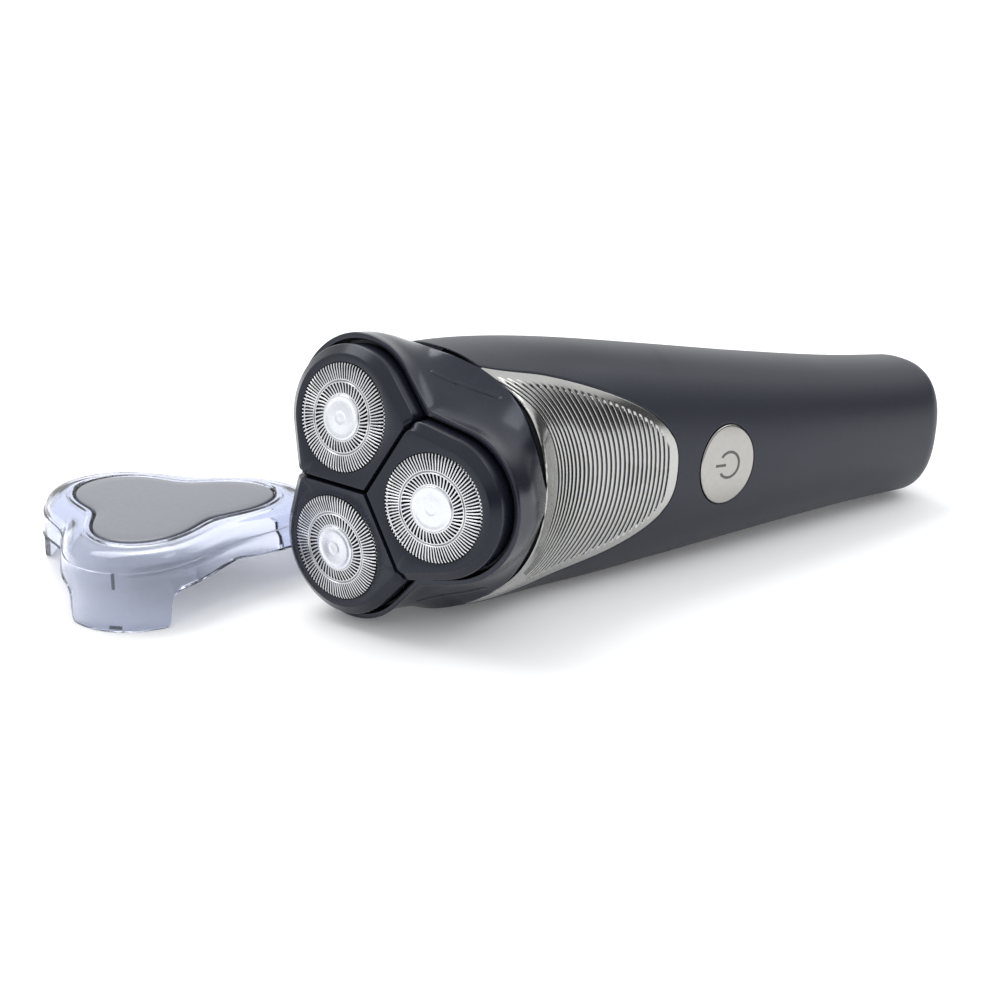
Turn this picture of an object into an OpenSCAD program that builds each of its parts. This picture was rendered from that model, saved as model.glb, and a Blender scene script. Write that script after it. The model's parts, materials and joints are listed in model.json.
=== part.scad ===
// Rotary electric shaver with three floating cutters, lying on its side next to its travel cap.
// The shaver is drawn upright, tail at z = 0, front face towards -y, and lay() puts it on the table.

/* [Handle] */
// Height of the pivot point of the shaving head above the tail
head_z = 162; // [160:0.5:164]
// Offset of the head's pivot towards the front
head_y = -7; // [-7.5:0.25:-6.5]
// Forward tilt of the shaving head
head_tilt = 20; // [19:0.5:21]
// Thickness of the handle shells
shell_wall = 2; // [1.6:0.1:2.2]
// Distance from the handle axis to the joint between the two shells
split_y = 9; // [8:0.5:10]
// Radius of the rounded edge at the tail
tail_round = 6; // [5:0.5:7]

/* [Button] */
// Height of the middle of the button above the tail
button_z = 75.3; // [73:0.5:78]
// Half the height of the oval button
button_half_z = 7.8; // [7:0.2:8.4]
// Half the width of the oval button
button_half_x = 9.1; // [8:0.2:9.6]

/* [Grille plate] */
// Height of the plate's rounded end above the tail
plate_z = 90.2; // [89:0.2:92]
// Half the width that the plate would reach 58 mm above its rounded end
plate_half = 26.4; // [25:0.2:27]
// Thickness of the plate
plate_wall = 0.9; // [0.7:0.1:1]

/* [Shaving head] */
// Distance from the head axis to each cutter's centre
pod_ring = 15.8; // [15.6:0.1:16]
// Outward cant of each cutter
pod_cant = 6; // [5:0.5:7]
// Radius of the visible steel foil
foil_r = 11; // [10.8:0.1:11.2]
// Radius of the pod around its cutter, at the skirt
pod_r = 14.6; // [14.4:0.1:14.7]
// Half the gap between neighbouring pods
pod_gap = 0.3; // [0.25:0.05:0.4]
// Depth of the joint between head and handle below the pivot
seam_z = -22; // [-22.5:0.25:-21.5]
// Thickness of the head cover
cover_wall = 1.5; // [1.3:0.1:1.6]

/* [Drive] */
// Radius of the motor can
motor_r = 8.2; // [7.5:0.1:8.4]
// Length of the motor can
motor_len = 14; // [12:0.5:14.5]
// Radius of the battery cell
battery_r = 7; // [6.5:0.1:7.2]

/* [Travel cap] */
// Height of the cap
cap_h = 16.8; // [16:0.2:18]
// Height of the openings between the cap's legs
cap_arch = 8; // [7:0.5:9]
// Half the angle that each leg takes up
cap_leg_half = 22; // [20:1:26]
// Wall of the cap
cap_wall = 1.2; // [1:0.1:1.4]
// Turn of the cap on the table
cap_yaw = -13.8; // [-16:0.5:-11]

/* [Hidden] */
// Where the tail and the cap stand on the table, from the middle of the footprint
tail_place = [103.9, -23.8, 17.05];
lay_tilt = 5;
cap_place = [-76.8, 25.4, 0];

// Handle sections: height, tilt, half width, front depth, back depth, squareness
SECTIONS = [
    [0, 0, 16.6, 14.4, 14.4, 2.5],
    [25, 0, 17.8, 15.8, 15.2, 2.5],
    [55, 0, 20.6, 17.2, 16.6, 2.5],
    [85, 0, 24.0, 17.5, 17.9, 2.5],
    [105, 0, 26.2, 17.5, 19.2, 2.5],
    [118, 3, 27.4, 18.0, 20.2, 2.4],
    [128, 9, 28.0, 20.9, 21.6, 2.3],
    [135, 14.5, 28.1, 24.5, 24.2, 2.2],
    [141.3, head_tilt, 27.8, 28.2, 27.5, 2.05]
];
neck_z = 141.3;
neck_y = 0.5;
neck_start = 105;
RINGS = concat(
    [0, 0.6, 2, 4, 6],
    [for (z = [14 : 10 : 104]) z],
    [109, 114, 118, 122, 126, 130, 134, 138, neck_z]
);
SIDES = 40;
FINE = 48;

pod_angles = [0, 120, -120];
tangent_angle = 76.5;
cover_steps = 7;
rim_r = 16.4;
rim_z = -5.4;
seam_gap = 0.2;
bracket_top = -9.8;
bracket_t = 1.2;
bracket_r = 14.6;
pivot_z = -5;
pivot_r = 0.7;
deck_top = -21;
deck_t = 2;
deck_r = 25;
deck_back = 23.4;
gear_top = -24;
gear_t = 3;
housing_top = -28;
housing_t = 2;
housing_r = 20.6;
housing_y = -2.6;
post_ring = 15.5;
gear_mod = 0.5;
gear_teeth = 33;
pinion_teeth = 27;
spindle_ring = gear_mod * (gear_teeth + pinion_teeth) / 2;
spindle_r = 1.2;
spindle_top = -5.8;
fit = 0.05;
motor_top = housing_top - housing_t;
shaft_r = 1;
magnet_ring = 16.5;
magnet_r = 2.6;
magnet_t = 1.4;
blade_teeth = 15;
cap_sides = 72;
board_screw_z = [20, 88];
board_front = -8.6;
board_back = -7.4;
battery_y = 3.2;
battery_z = [26, 76];
contact_t = 0.3;

// ---------- placing ----------

module lay() translate(tail_place) rotate([0, lay_tilt - 90, 0]) children();

module head_frame() lay() translate([0, head_y, head_z]) rotate([head_tilt, 0, 0]) children();

module around(k) rotate([0, 0, pod_angles[k - 1]]) children();

module pod_frame(k) head_frame() around(k)
    translate([0, -pod_ring, 0]) rotate([pod_cant, 0, 0]) children();

module cap_frame() translate(cap_place) rotate([0, 0, cap_yaw]) children();

// ---------- curves ----------

// Index of the section below height z
function section_at(z, i = 0) =
    i >= len(SECTIONS) - 2 || SECTIONS[i + 1][0] > z ? i : section_at(z, i + 1);

function section_slope(i, col) =
    let (lo = max(i - 1, 0), hi = min(i + 1, len(SECTIONS) - 1))
    (SECTIONS[hi][col] - SECTIONS[lo][col]) / (SECTIONS[hi][0] - SECTIONS[lo][0]);

// Smooth value of one column of the handle sections
function handle_value(z, col) =
    let (
        i = section_at(z),
        span = SECTIONS[i + 1][0] - SECTIONS[i][0],
        t = (z - SECTIONS[i][0]) / span,
        t2 = t * t,
        t3 = t2 * t
    )
    (2 * t3 - 3 * t2 + 1) * SECTIONS[i][col] + (t3 - 2 * t2 + t) * span * section_slope(i, col)
    + (3 * t2 - 2 * t3) * SECTIONS[i + 1][col] + (t3 - t2) * span * section_slope(i + 1, col);

// How far the tail's rounded edge draws the section in
function tail_inset(z) =
    z < tail_round ? tail_round - sqrt(tail_round ^ 2 - (tail_round - z) ^ 2) : 0;

// Distance from a rounded section's middle to its edge; angle 0 faces the front
function oval(angle, half, front, back, power) =
    let (depth = cos(angle) > 0 ? front : back)
    (abs(cos(angle) / depth) ^ power + abs(sin(angle) / half) ^ power) ^ (-1 / power);

// Point of the handle's skin, drawn in by `inward`
function handle_point(z, angle, inward) =
    let (
        d = inward + tail_inset(z),
        r = oval(angle, handle_value(z, 2) - d, handle_value(z, 3) - d, handle_value(z, 4) - d,
                 handle_value(z, 5)),
        v = -r * cos(angle),
        tilt = handle_value(z, 1),
        lean = neck_y * max(0, (z - neck_start) / (neck_z - neck_start))
    )
    [r * sin(angle), lean + v * cos(tilt), z + v * sin(tilt)];

function handle_ring(z, inward) =
    [for (i = [0 : SIDES - 1]) handle_point(z, i * 360 / SIDES, inward)];

// Plan of a pod at height z, about its own centre: round outside, straight towards the gaps
function pod_edge(angle, r, z) =
    let (
        a = abs(angle > 180 ? angle - 360 : angle),
        straight = a < tangent_angle ? r : r / max(cos(a - tangent_angle), 0.001),
        side = cos(a - 150),
        reach = pod_ring * sin(60) - pod_gap + z * sin(pod_cant) * cos(30)
    )
    side > 0 ? min(straight, reach / side) : straight;

// Plan of the three lobes about the head axis
function lobe_edge(angle, r) =
    let (
        e = abs((angle + 420) % 120 - 60),
        turn = atan2(r * sin(tangent_angle), pod_ring + r * cos(tangent_angle))
    )
    e < turn ? pod_ring * cos(e) + sqrt(r ^ 2 - (pod_ring * sin(e)) ^ 2)
             : (r + pod_ring * cos(tangent_angle)) / cos(e - tangent_angle);

// Skin of the head cover: t is 0 at the rim and 1 at the seam
function cover_point(angle, t, inward) =
    let (
        sharp = lobe_edge(angle, rim_r),
        smooth = 26.9 + 5.3 * cos(3 * angle) + 0.5 * sin(180 * t),
        soften = min(1, 2.5 * t),
        lobe = sharp * (1 - soften) + smooth * soften,
        foot = oval(angle, 27.8, 28.2, 27.5, 2.05),
        w = t ^ 1.8,
        r = lobe * (1 - w) + foot * w - inward,
        top = rim_z - (sharp * cos(abs((angle + 420) % 120 - 60)) - pod_ring) * tan(pod_cant)
    )
    [r * sin(angle), -r * cos(angle), top + (seam_z + seam_gap - top) * t];

// Plan of the travel cap
function cap_edge(angle, mean, swell) = mean + swell * cos(3 * angle);

// Lower edge of the travel cap: three legs with low arches between them
function cap_foot(angle) =
    let (e = abs((angle + 420) % 120 - 60))
    e < cap_leg_half ? 0 : cap_arch * min(1, (e - cap_leg_half) / 3) ^ 0.4;

// ---------- general shapes ----------

// Closed body through rings of equal length, capped at both ends
module loft(rings) {
    n = len(rings[0]);
    last = len(rings) - 1;
    polyhedron(
        points = [for (ring = rings) each ring],
        faces = concat(
            [[for (j = [0 : n - 1]) j]],
            [for (i = [0 : last - 1], j = [0 : n - 1])
                [i * n + j, (i + 1) * n + j, (i + 1) * n + (j + 1) % n, i * n + (j + 1) % n]],
            [[for (j = [n - 1 : -1 : 0]) last * n + j]]
        )
    );
}

// Closed tube through rings that return to the first ring
module loop_loft(rings) {
    n = len(rings[0]);
    m = len(rings);
    polyhedron(
        points = [for (ring = rings) each ring],
        faces = [for (i = [0 : m - 1], j = [0 : n - 1])
            [i * n + j, ((i + 1) % m) * n + j, ((i + 1) % m) * n + (j + 1) % n,
             i * n + (j + 1) % n]]
    );
}

module tube(r_out, r_in, z0, z1) {
    translate([0, 0, z0]) difference() {
        cylinder(r = r_out, h = z1 - z0, $fn = FINE);
        translate([0, 0, -1]) cylinder(r = r_in, h = z1 - z0 + 2, $fn = FINE);
    }
}

module disc(r, z0, z1) translate([0, 0, z0]) cylinder(r = r, h = z1 - z0, $fn = FINE);

// Box from two corners
module block(lo, hi) translate(lo) cube(hi - lo);

// Handle body drawn in by `inward`
module handle_solid(inward) loft([for (z = RINGS) handle_ring(z, inward)]);

// Core of the handle from the ring above height z0 to a little past the neck
module handle_core(inward, z0) {
    step = [0, -sin(head_tilt), cos(head_tilt)];
    loft(concat(
        [for (z = RINGS) if (z > z0) handle_ring(z, inward)],
        [[for (p = handle_ring(neck_z, inward)) p + step]]
    ));
}

module oval_prism(half_x, half_z, y0, y1) {
    translate([0, y1, button_z]) rotate([90, 0, 0]) linear_extrude(y1 - y0)
        polygon([for (a = [0 : 9 : 351]) [half_x * cos(a), half_z * sin(a)]]);
}

// Outline of the grille plate seen from the front, grown by `grow`
module plate_prism(grow) {
    steps = 12;
    side = [for (i = [0 : steps])
        let (s = (i / steps) ^ 2)
        [(plate_half + grow) * s ^ 0.38, plate_z - grow + 58 * s]];
    outline = concat(side, [for (i = [steps : -1 : 1]) [-side[i][0], side[i][1]]]);
    translate([0, -8, 0]) rotate([90, 0, 0]) linear_extrude(30) polygon(outline);
}

module spur_gear(teeth, thick, bore) {
    pitch = gear_mod * teeth / 2;
    step = 360 / teeth;
    function tooth(i, r, half) = let (a = i * step) [
        r * cos(a) - half * sin(a), r * sin(a) + half * cos(a)
    ];
    outline = [for (i = [0 : teeth - 1]) each [
        tooth(i, pitch - 0.6, -0.42), tooth(i, pitch + 0.4, -0.17),
        tooth(i, pitch + 0.4, 0.17), tooth(i, pitch - 0.6, 0.42)
    ]];
    difference() {
        linear_extrude(thick) polygon(outline);
        translate([0, 0, -1]) cylinder(r = bore, h = thick + 2, $fn = FINE);
    }
}

// ---------- handle ----------

module handle_front_shell() color("#26272b") lay() difference() {
    handle_solid(0);
    handle_core(shell_wall, shell_wall);
    block([-40, split_y, -5], [40, 40, 170]);
    oval_prism(button_half_x + 0.2, button_half_z + 0.2, -30, -8);
    difference() {
        plate_prism(0.15);
        handle_core(plate_wall + 0.1, 80);
    }
    block([-4.7, -1.8, -1], [4.7, 1.8, 6]);
}

module handle_rear_shell() color("#222327") lay() difference() {
    handle_solid(0);
    handle_core(shell_wall, shell_wall);
    block([-40, -40, -5], [40, split_y + 0.02, 170]);
}

module grille_plate() color("#b9b8b2") lay() intersection() {
    difference() {
        handle_solid(0);
        handle_core(plate_wall, 80);
    }
    plate_prism(0);
}

module button_seal() color("#1b1b1d") lay() difference() {
    oval_prism(button_half_x + 1.2, button_half_z + 1.2, -14.2, -13.4);
    oval_prism(button_half_x - 4, button_half_z - 4, -15, -12);
}

module inner_chassis() color("#5b5d63") lay() difference() {
    union() {
        block([-9, -5.6, 12], [9, -4.4, 108]);
        for (side = [-1, 1]) translate([side * 9.5, 0, 0])
            block([-0.6, board_back, 12], [0.6, 6, 108]);
        block([-9, -5, battery_z[0] - contact_t - 1.5], [9, 10, battery_z[0] - contact_t]);
        block([-9, -5, battery_z[1] + 1 + contact_t], [9, 11, battery_z[1] + 2.5 + contact_t]);
        for (z = board_screw_z) translate([0, -5, z]) rotate([90, 0, 0])
            cylinder(r = 2.2, h = -5 - board_back, $fn = FINE);
    }
    translate([0, battery_y, battery_z[0] - contact_t])
        cylinder(r = battery_r + 0.3, h = battery_z[1] - battery_z[0] + 1 + 2 * contact_t, $fn = FINE);
    board_screw_holes();
}

module board_screw_holes() for (z = board_screw_z)
    translate([0, -3, z]) rotate([90, 0, 0]) cylinder(r = 1.1, h = 8, $fn = FINE);

module circuit_board() color("#1d5c3a") lay() difference() {
    block([-9.6, board_front, 13], [9.6, board_back, 92]);
    board_screw_holes();
}

module board_screws() color("#8d8f94") lay() for (z = board_screw_z) translate([0, 0, z])
    rotate([90, 0, 0]) {
        translate([0, 0, 4.6]) cylinder(r = 1.05, h = 4.2, $fn = FINE);
        translate([0, 0, -board_front]) cylinder(r = 1.9, h = 1.1, $fn = FINE);
    }

module tactile_switch() color("#3a3a3e") lay() {
    block([-3, -10.6, button_z - 3], [3, board_front, button_z + 3]);
    translate([0, -10.6, button_z]) rotate([90, 0, 0]) cylinder(r = 1.6, h = 0.6, $fn = FINE);
}

module charge_led() color("#e8efe9") lay() block([-1, -9.4, 56], [1, board_front, 58.5]);

module battery_cell() color("#3f6fb0") lay() translate([0, battery_y, 0]) {
    disc(battery_r, battery_z[0], battery_z[1]);
    disc(2.6, battery_z[1] - 0.5, battery_z[1] + 1);
}

module battery_contacts() color("#c9c7bd") lay() {
    block([-3, -3, battery_z[0] - contact_t], [3, 9, battery_z[0]]);
    block([-2.5, -3, battery_z[1] + 1], [2.5, 9, battery_z[1] + 1 + contact_t]);
}

module motor_can() color("#a7a9ad") head_frame() {
    difference() {
        disc(motor_r, motor_top - motor_len, motor_top);
        disc(motor_r - 1, motor_top - motor_len - 1, motor_top - 1);
        disc(shaft_r + fit, motor_top - 2, motor_top + 1);
    }
}

module motor_end_cap() color("#e7e4da") head_frame() {
    difference() {
        disc(motor_r - 1.05, motor_top - motor_len, motor_top - motor_len + 3);
        disc(shaft_r + fit, motor_top - motor_len + 1, motor_top - motor_len + 4);
    }
}

module charging_socket() color("#b4b6ba") lay() {
    difference() {
        block([-4.5, -1.6, 0.4], [4.5, 1.6, 8]);
        block([-4.2, -1.3, -1], [4.2, 1.3, 7]);
    }
    block([-3.2, -0.35, 1.4], [3.2, 0.35, 7.1]);
}

module socket_seal() color("#1b1b1d") lay() difference() {
    block([-6, -3, 6.1], [6, 3, 7.6]);
    block([-4.55, -1.65, 5], [4.55, 1.65, 9]);
}

module gear_housing() color("#6a6c72") head_frame() difference() {
    union() {
        translate([0, housing_y, 0]) disc(housing_r, housing_top - housing_t, housing_top);
        between_cutters(post_ring) disc(1.6, housing_top - 0.5, deck_top - deck_t);
    }
    disc(4, housing_top - housing_t - 1, housing_top + 1);
    for (k = [1 : 3]) around(k) translate([0, -spindle_ring, 0])
        disc(spindle_r + fit, housing_top - 1.4, housing_top + 1);
}

module gear_cover() color("#44464c") head_frame() difference() {
    intersection() {
        disc(deck_r, deck_top - deck_t, deck_top);
        block([-30, -30, -50], [30, deck_back, 0]);
    }
    for (k = [1 : 3]) around(k) translate([0, -spindle_ring, 0])
        disc(spindle_r + fit, deck_top - deck_t - 1, deck_top + 1);
    disc(2, deck_top - deck_t - 1, deck_top + 1);
}

module neck_seal() color("#1b1b1d") head_frame() difference() {
    tube(25.5, deck_r + 0.03, deck_top - deck_t + 0.2, deck_top - 1.1);
    block([-30, 15, -50], [30, 30, 0]);
}

// Three places around the head axis, between the cutters
module between_cutters(ring) for (a = [60, 180, 300]) rotate([0, 0, a]) translate([0, -ring, 0])
    children();

module head_magnets() color("#c9c9cc") head_frame() between_cutters(magnet_ring)
    disc(magnet_r, deck_top, deck_top + magnet_t);

module housing_screws() color("#8d8f94") head_frame() between_cutters(post_ring)
    disc(1.9, housing_top - housing_t - 1.2, housing_top - housing_t);

// ---------- power button ----------

module power_button() color("#c3bfb6") lay() intersection() {
    oval_prism(button_half_x, button_half_z, -20, -15.2);
    handle_solid(-0.25);
}

module button_stem() color("#d9d9d6") lay() {
    translate([0, -11.9, button_z]) rotate([90, 0, 0]) cylinder(r = 2.4, h = 3.3, $fn = FINE);
}

// ---------- motor and gear train ----------

module motor_shaft() color("#c9c9cc") head_frame() disc(shaft_r, motor_top - motor_len + 1.4, gear_top + 0.4);

module motor_pinion() color("#e9e6dc") head_frame() translate([0, 0, gear_top - gear_t])
    rotate([0, 0, -90]) spur_gear(pinion_teeth, gear_t, shaft_r);

module drive_gear(k) color("#e9e6dc") head_frame() around(k)
    translate([0, -spindle_ring, gear_top - gear_t])
    rotate([0, 0, 90 + 180 / gear_teeth]) spur_gear(gear_teeth, gear_t, spindle_r);

module drive_spindle(k) color("#d4d2ca") head_frame() around(k) translate([0, -spindle_ring, 0]) {
    disc(spindle_r, housing_top - 1.2, spindle_top - 1.1);
    disc(2.1, spindle_top - 3.2, spindle_top - 2);
    translate([0, 0, spindle_top - 0.8]) cube([2, 2, 1.6], center = true);
}

// Rubber boot in pleats around the lower half of a spindle
module spindle_boot(k) color("#1b1b1d") head_frame() around(k) translate([0, -spindle_ring, deck_top])
    rotate_extrude($fn = FINE) polygon(concat(
        [[1.5, 0], [4.4, 0], [4.4, 0.6]],
        [for (i = [0 : 3]) each [[2.7, 1.2 + 1.6 * i], [3.6, 2 + 1.6 * i]]],
        [[2.2, 7.6], [1.5, 7.6]]
    ));

// ---------- shaving head ----------

function cover_ring(t, inward) = [for (j = [0 : 59]) cover_point(j * 6, t, inward)];

module head_cover() color("#17171a") head_frame() loop_loft(concat(
    [for (i = [0 : cover_steps]) cover_ring(i / cover_steps, 0)],
    [for (i = [cover_steps : -1 : 0])
        let (t = i / cover_steps)
        cover_ring(t, cover_wall - 0.3 * (1 - t))]
));

module cutter_bracket() color("#8b8d92") head_frame() difference() {
    union() {
        for (k = [1 : 3]) around(k) translate([0, -pod_ring, 0]) {
            disc(bracket_r, bracket_top - bracket_t, bracket_top);
            rotate([pod_cant, 0, 0]) pod_pivots();
        }
        for (a = [60, 180, 300]) rotate([0, 0, a])
            block([-2, -magnet_ring, bracket_top - bracket_t], [2, -4, bracket_top]);
    }
    for (k = [1 : 3]) around(k) translate([0, -spindle_ring, 0])
        disc(6.6, bracket_top - bracket_t - 1, bracket_top + 1);
    disc(1.95, bracket_top - bracket_t - 1, bracket_top + 1);
}

// Two posts with pins that a pod tilts on
module pod_pivots() for (side = [-1, 1]) {
    translate([side * 11.1, 0, 0]) block([-0.5, -1.2, bracket_top - 0.5], [0.5, 1.2, pivot_z + 0.9]);
    translate([side * 12.4, 0, pivot_z]) rotate([0, 90, 0])
        cylinder(r = pivot_r, h = 2.4, center = true, $fn = FINE);
}

module head_catches() color("#b5b7ba") head_frame() between_cutters(magnet_ring)
    disc(magnet_r, deck_top + magnet_t + 0.2, bracket_top - bracket_t);

module bracket_knob() color("#d9d9d6") head_frame() {
    disc(1.9, bracket_top - bracket_t - 0.5, bracket_top + 0.6);
    disc(4.6, bracket_top - bracket_t - 1.4, bracket_top - bracket_t - 0.15);
    block([-3.8, -0.7, bracket_top - bracket_t - 2.8], [3.8, 0.7, bracket_top - bracket_t - 1.3]);
}

module pod_shell(k) color("#1c1d20") pod_frame(k) difference() {
    loft([for (level = [[-7, pod_r], [-3.3, pod_r], [-1.4, 13.1], [-0.3, 11.5]])
        [for (j = [0 : FINE - 1])
            let (a = j * 360 / FINE, r = pod_edge(a, level[1], level[0]))
            [r * sin(a), -r * cos(a), level[0]]]]);
    disc(foil_r + 0.1, -10, 1);
    disc(foil_r + 0.85, -10, -3);
    translate([0, 0, pivot_z]) rotate([0, 90, 0])
        cylinder(r = pivot_r + fit, h = 28, center = true, $fn = FINE);
}

module cutter_foil(k) color("#cfd0d2") pod_frame(k) rotate_extrude($fn = 64) polygon([
    [4.4, 0], [6.9, 0], [7.05, -0.15], [7.55, -0.15], [7.7, 0], [foil_r - 0.25, 0],
    [foil_r, -0.25], [foil_r, -3.05], [foil_r + 0.7, -3.05], [foil_r + 0.7, -3.55],
    [foil_r - 0.4, -3.55], [foil_r - 0.4, -0.5], [4.4, -0.5]
]);

module foil_cap(k) color("#e2e3e6") pod_frame(k) rotate_extrude($fn = 64) polygon([
    [0, -0.5], [4.35, -0.5], [4.35, 0], [4.65, 0], [4.65, 0.18], [4.1, 0.5], [0, 0.5]
]);

module rotary_blade(k) color("#bfc1c4") pod_frame(k) difference() {
    union() {
        tube(10.1, 3, -2.7, -2.1);
        for (i = [0 : blade_teeth - 1]) rotate([0, 0, i * 360 / blade_teeth])
            block([5.2, -0.3, -2.6], [10, 0.3, -0.68]);
    }
    tube(8.1, 6.8, -2.05, 0);
}

module blade_hub(k) color("#e7e4da") pod_frame(k) difference() {
    union() {
        disc(2.95, -3, -2.2);
        disc(4, -6.6, -2.75);
    }
    disc(2.9, -7, -4.4);
}

// ---------- travel cap ----------

function cap_ring(z, mean, swell, floor_follow = 0) =
    [for (j = [0 : cap_sides - 1])
        let (a = j * 360 / cap_sides, r = cap_edge(a, mean, swell))
        [r * cos(a), r * sin(a), floor_follow ? cap_foot(a) : z]];

module cap_shell() color("#9aa3b8") cap_frame() loop_loft([
    cap_ring(0, 28.6, 5.35, 1),
    cap_ring(10.5, 28.0, 5.3),
    cap_ring(11, 27.5, 5.3),
    cap_ring(cap_h - 2, 26.8, 5.1),
    cap_ring(cap_h - 0.5, 24, 5),
    cap_ring(cap_h - 0.3, 21.8, 4.9),
    cap_ring(cap_h - 0.3, 19.8, 4.85),
    cap_ring(cap_h - 0.3 - cap_wall, 19.8, 4.85),
    cap_ring(cap_h - 0.5 - cap_wall, 23.6, 4.95),
    cap_ring(cap_h - 2.6, 25.6, 5.05),
    cap_ring(10.5, 26.5, 5.2),
    cap_ring(0, 28.6 - cap_wall, 5.3, 1)
]);

module cap_top_panel() color("#7f838b") cap_frame() loft([
    cap_ring(cap_h - 0.3 - cap_wall, 19.7, 4.85),
    cap_ring(cap_h - 0.4, 19.7, 4.85),
    cap_ring(cap_h, 19.2, 4.8)
]);

// ---------- drawing ----------

handle_front_shell();
handle_rear_shell();
grille_plate();
button_seal();
inner_chassis();
circuit_board();
tactile_switch();
charge_led();
battery_cell();
battery_contacts();
motor_can();
motor_end_cap();
charging_socket();
socket_seal();
gear_housing();
gear_cover();
neck_seal();
head_magnets();
housing_screws();
board_screws();
power_button();
button_stem();
motor_shaft();
motor_pinion();
drive_gear(1);  // drive_gear_1
drive_gear(2);  // drive_gear_2
drive_gear(3);  // drive_gear_3
drive_spindle(1);  // drive_spindle_1
drive_spindle(2);  // drive_spindle_2
drive_spindle(3);  // drive_spindle_3
spindle_boot(1);  // spindle_boot_1
spindle_boot(2);  // spindle_boot_2
spindle_boot(3);  // spindle_boot_3
head_cover();
cutter_bracket();
head_catches();
bracket_knob();
pod_shell(1);  // pod_shell_1
pod_shell(2);  // pod_shell_2
pod_shell(3);  // pod_shell_3
cutter_foil(1);  // cutter_foil_1
cutter_foil(2);  // cutter_foil_2
cutter_foil(3);  // cutter_foil_3
foil_cap(1);  // foil_cap_1
foil_cap(2);  // foil_cap_2
foil_cap(3);  // foil_cap_3
rotary_blade(1);  // rotary_blade_1
rotary_blade(2);  // rotary_blade_2
rotary_blade(3);  // rotary_blade_3
blade_hub(1);  // blade_hub_1
blade_hub(2);  // blade_hub_2
blade_hub(3);  // blade_hub_3
cap_shell();
cap_top_panel();
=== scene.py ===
import json
import math

import bmesh
import bpy
import numpy as np
from mathutils import Matrix, Vector


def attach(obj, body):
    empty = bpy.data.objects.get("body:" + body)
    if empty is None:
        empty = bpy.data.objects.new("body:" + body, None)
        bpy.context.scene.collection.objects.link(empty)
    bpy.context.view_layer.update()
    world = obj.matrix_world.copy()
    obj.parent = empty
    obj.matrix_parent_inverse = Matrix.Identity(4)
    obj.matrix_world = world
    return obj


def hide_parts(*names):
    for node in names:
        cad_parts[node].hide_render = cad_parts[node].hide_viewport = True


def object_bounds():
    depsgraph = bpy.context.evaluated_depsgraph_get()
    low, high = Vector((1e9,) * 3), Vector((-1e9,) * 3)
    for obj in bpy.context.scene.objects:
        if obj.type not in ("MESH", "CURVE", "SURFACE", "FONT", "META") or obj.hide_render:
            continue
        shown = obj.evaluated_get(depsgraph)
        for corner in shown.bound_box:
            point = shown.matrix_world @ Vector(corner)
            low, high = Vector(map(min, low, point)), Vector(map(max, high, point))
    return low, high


# A rotary shaver that lies beside its travel cap. Local sizes are in millimetres, as in the CAD
# source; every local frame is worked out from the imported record's joints, mounts and openings.

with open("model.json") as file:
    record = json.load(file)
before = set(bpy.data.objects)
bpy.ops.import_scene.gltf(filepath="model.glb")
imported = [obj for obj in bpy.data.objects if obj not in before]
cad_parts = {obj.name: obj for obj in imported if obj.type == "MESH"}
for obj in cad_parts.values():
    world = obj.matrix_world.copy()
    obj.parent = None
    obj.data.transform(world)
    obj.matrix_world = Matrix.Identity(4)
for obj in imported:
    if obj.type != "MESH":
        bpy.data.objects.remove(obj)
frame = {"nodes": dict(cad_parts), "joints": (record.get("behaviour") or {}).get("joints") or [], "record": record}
cad_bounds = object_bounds()
record = frame["record"]
MM = 0.001

joints = {joint["name"]: joint for joint in frame["joints"]}
mounts = {mount["name"]: mount for mount in record["mounts"]}
openings = {opening["name"]: opening for opening in record["physics"]["openings"]}


# ---------- local frames ----------

def local_frame(x_axis, z_axis, origin):
    """Matrix of a frame with these axes at a point of the row frame, in metres."""
    z = Vector(z_axis).normalized()
    x = Vector(x_axis)
    x = (x - x.dot(z) * z).normalized()
    place = Matrix((x, z.cross(x), z)).transposed().to_4x4()
    place.translation = Vector(origin)
    return place


def along(origin, axis, distance):
    return Vector(origin) + Vector(axis).normalized() * distance * MM


UP = -Vector(mounts["tail_face"]["axis"])
BACK = Vector(joints["power_press"]["axis"])
SIDE = BACK.cross(UP)
HANDLE = local_frame(SIDE, UP, along(mounts["tail_face"]["pos_m"], BACK, -5))
HEAD = local_frame(SIDE, joints["shaving_unit_pull"]["axis"],
                   along(joints["motor_spin"]["pos_m"], joints["motor_spin"]["axis"], 25))
PODS = [local_frame(joints[f"pod_tilt_{k}"]["axis"], joints[f"blade_spin_{k}"]["axis"],
                    along(joints[f"pod_tilt_{k}"]["pos_m"], joints[f"blade_spin_{k}"]["axis"], 5))
        for k in (1, 2, 3)]


def box_middle(name):
    low, high = openings[name]["box_m"]
    return Vector([(a + b) / 2 for a, b in zip(low, high)])


cap_middle = box_middle("cap_inside")
cap_middle.z = 0
lobe_way = box_middle("cap_lobe_1") - cap_middle
CAP = local_frame((lobe_way.x, lobe_way.y, 0), (0, 0, 1), cap_middle)

# ---------- sizes, in millimetres ----------

SECTIONS = np.array([
    # height, tilt, half width, front depth, back depth, squareness
    [0, 0, 16.6, 14.4, 14.4, 2.5],
    [25, 0, 17.8, 15.8, 15.2, 2.5],
    [55, 0, 20.6, 17.2, 16.6, 2.5],
    [85, 0, 24.0, 17.5, 17.9, 2.5],
    [105, 0, 26.2, 17.5, 19.2, 2.5],
    [118, 3, 27.4, 18.0, 20.2, 2.4],
    [128, 9, 28.0, 20.9, 21.6, 2.3],
    [135, 14.5, 28.1, 24.5, 24.2, 2.2],
    [141.3, 20, 27.8, 28.2, 27.5, 2.05],
])

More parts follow.
